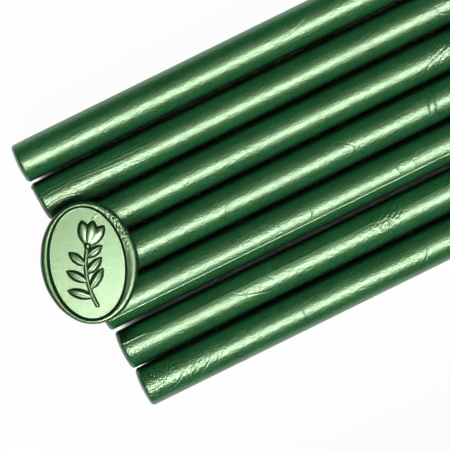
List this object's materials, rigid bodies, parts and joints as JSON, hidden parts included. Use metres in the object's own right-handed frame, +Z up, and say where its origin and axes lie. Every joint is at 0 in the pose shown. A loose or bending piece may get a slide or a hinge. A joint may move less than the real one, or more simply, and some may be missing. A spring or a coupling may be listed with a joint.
{
  "type": "sealing wax stick set",
  "caption": "Row of round glue-gun sealing wax sticks in pearly metallic green, with an oval pressed wax seal lying on their ends.",
  "frame": {"origin": "middle of the set's box, on the desk that the sticks lie on", "axes": "+X along the sticks from their moulded ends to their trimmed ends, +Y across the row towards the first stick, +Z up from the desk"},
  "size_m": [0.1462, 0.0796, 0.0146],
  "materials": {
    "stick_wax": "pearlescent metallic wax, satin",
    "seal_wax": "pearlescent metallic wax, smooth where the stamp pressed it"
  },
  "bodies": {
    "stick_4": {"wax_stick_4": "stick_wax"},
    "stick_1": {"wax_stick_1": "stick_wax"},
    "stick_2": {"wax_stick_2": "stick_wax"},
    "stick_3": {"wax_stick_3": "stick_wax"},
    "stick_5": {"wax_stick_5": "stick_wax"},
    "stick_6": {"wax_stick_6": "stick_wax"},
    "stick_7": {"wax_stick_7": "stick_wax"},
    "seal": {"wax_seal": "seal_wax"}
  },
  "joints": [
    {"name": "stick_1_draw", "type": "slide", "parent": "stick_4", "child": "stick_1", "axis": [1, 0, 0], "range_m": [0, 0.135]},
    {"name": "stick_2_draw", "type": "slide", "parent": "stick_4", "child": "stick_2", "axis": [1, 0, 0], "range_m": [0, 0.135]},
    {"name": "stick_3_draw", "type": "slide", "parent": "stick_4", "child": "stick_3", "axis": [1, 0, 0], "range_m": [0, 0.135]},
    {"name": "stick_5_draw", "type": "slide", "parent": "stick_4", "child": "stick_5", "axis": [1, 0, 0], "range_m": [0, 0.135]},
    {"name": "stick_6_draw", "type": "slide", "parent": "stick_4", "child": "stick_6", "axis": [1, 0, 0], "range_m": [0, 0.135]},
    {"name": "stick_7_draw", "type": "slide", "parent": "stick_4", "child": "stick_7", "axis": [1, 0, 0], "range_m": [0, 0.135]},
    {"name": "seal_lift", "type": "slide", "parent": "stick_4", "child": "seal", "axis": [0, 0, 1], "range_m": [0, 0.05]}
  ]
}
